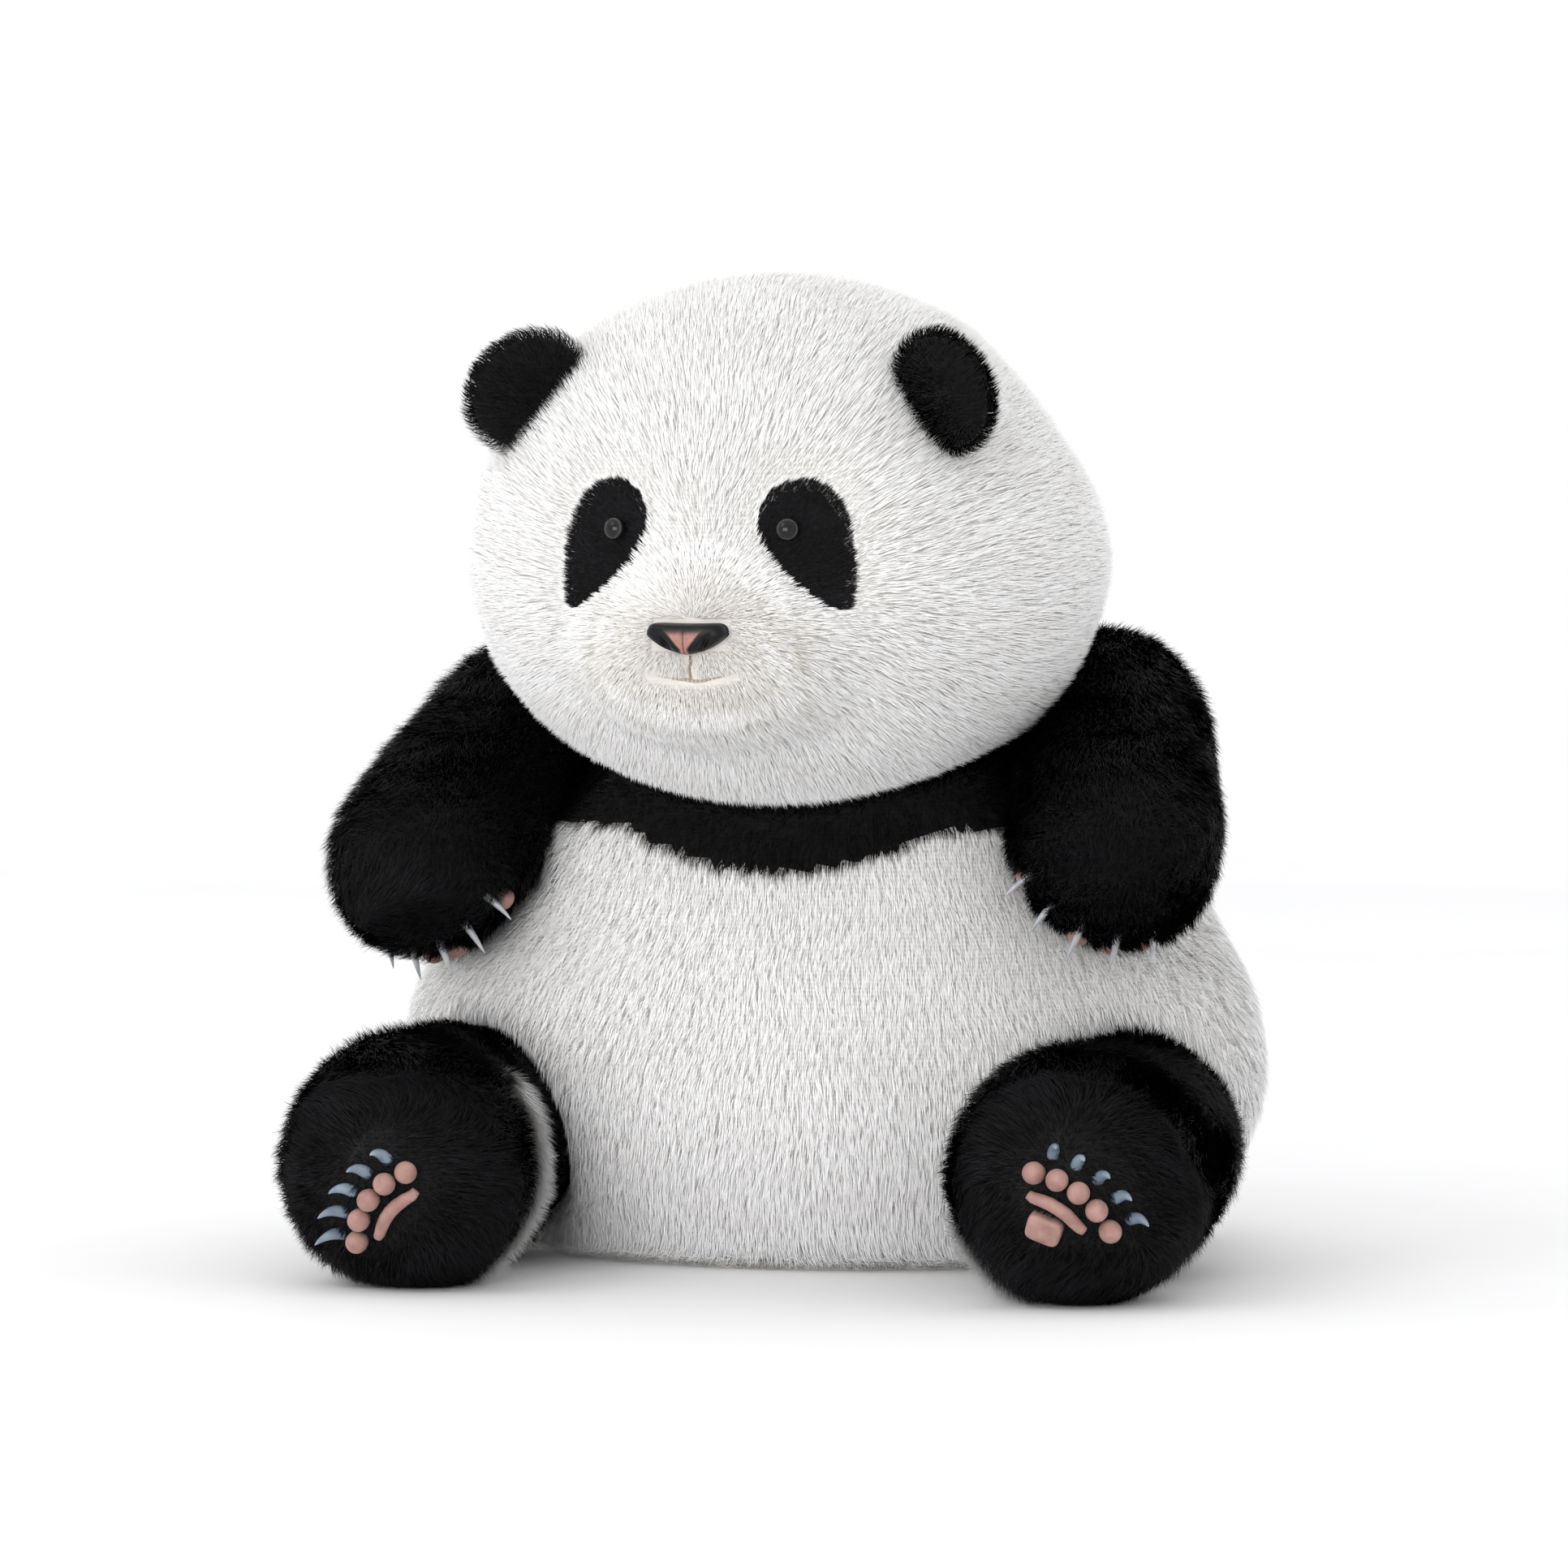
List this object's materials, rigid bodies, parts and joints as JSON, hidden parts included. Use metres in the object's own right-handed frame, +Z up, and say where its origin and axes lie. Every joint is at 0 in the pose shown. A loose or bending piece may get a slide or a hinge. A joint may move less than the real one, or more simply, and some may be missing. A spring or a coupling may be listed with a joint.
{
  "type": "plush panda",
  "caption": "Sitting stuffed panda with a disc-jointed head, arms and legs, moulded nose, eyes, claws and paw pads, on a flat weighted seat.",
  "frame": {"origin": "on the flat seat under the body, below the middle of the chest", "axes": "+Z up, the panda faces -Y, its left side is +X"},
  "size_m": [0.3145, 0.3191, 0.3365],
  "materials": {
    "white_plush": "matte",
    "ivory_plush": "matte",
    "black_plush": "matte",
    "filling": "matte",
    "pellet_cotton": "matte",
    "joint_plastic": "satin",
    "washer_plastic": "satin",
    "eye_acrylic": "gloss",
    "nose_vinyl": "satin",
    "claw_resin": "satin",
    "pad_silicone": "matte",
    "stitch_thread": "matte"
  },
  "bodies": {
    "torso": {"torso_cover": "white_plush", "shoulder_yoke": "black_plush", "base_panel": "white_plush", "torso_stuffing": "filling", "pellet_bag": "pellet_cotton", "tail": "white_plush", "neck_disc": "joint_plastic", "shoulder_discs": "joint_plastic", "hip_discs": "joint_plastic"},
    "head": {"head_cover": "white_plush", "muzzle": "ivory_plush", "head_stuffing": "filling", "ear_left": "black_plush", "ear_right": "black_plush", "eye_patch_left": "black_plush", "eye_patch_right": "black_plush", "eye_left": "eye_acrylic", "eye_right": "eye_acrylic", "eye_washers": "washer_plastic", "nose": "nose_vinyl", "nose_washer": "washer_plastic", "mouth_stitch": "stitch_thread", "neck_pin": "joint_plastic", "neck_ring": "joint_plastic"},
    "arm_left": {"arm_left_cover": "black_plush", "arm_left_stuffing": "filling", "arm_left_claws": "claw_resin", "arm_left_pads": "pad_silicone", "arm_left_pin": "joint_plastic", "arm_left_ring": "joint_plastic"},
    "arm_right": {"arm_right_cover": "black_plush", "arm_right_stuffing": "filling", "arm_right_claws": "claw_resin", "arm_right_pads": "pad_silicone", "arm_right_pin": "joint_plastic", "arm_right_ring": "joint_plastic"},
    "leg_left": {"leg_left_cover": "black_plush", "leg_left_patch": "white_plush", "leg_left_stuffing": "filling", "leg_left_claws": "claw_resin", "leg_left_pads": "pad_silicone", "leg_left_heel_pad": "pad_silicone", "leg_left_pin": "joint_plastic", "leg_left_ring": "joint_plastic"},
    "leg_right": {"leg_right_cover": "black_plush", "leg_right_patch": "white_plush", "leg_right_stuffing": "filling", "leg_right_claws": "claw_resin", "leg_right_pads": "pad_silicone", "leg_right_pin": "joint_plastic", "leg_right_ring": "joint_plastic"}
  },
  "joints": [
    {"name": "neck_turn", "type": "hinge", "parent": "torso", "child": "head", "pos_m": [0, -0.045, 0.1635], "axis": [0, 0, 1], "range_deg": [-45, 45]},
    {"name": "shoulder_left", "type": "hinge", "parent": "torso", "child": "arm_left", "pos_m": [0.07989, 0.02697, 0.18073], "axis": [0.7198, -0.262, 0.6428], "range_deg": [-4, 45]},
    {"name": "shoulder_right", "type": "hinge", "parent": "torso", "child": "arm_right", "pos_m": [-0.07989, 0.02697, 0.18073], "axis": [0.7198, 0.262, -0.6428], "range_deg": [-13, 36]},
    {"name": "hip_left", "type": "hinge", "parent": "torso", "child": "leg_left", "pos_m": [0.11416, 0.006, 0.04367], "axis": [-0.0065, 0.9999, 0.013], "range_deg": [-15, 30]},
    {"name": "hip_right", "type": "hinge", "parent": "torso", "child": "leg_right", "pos_m": [-0.11416, 0.006, 0.04367], "axis": [-0.0065, -0.9999, -0.013], "range_deg": [-29, 16]}
  ]
}
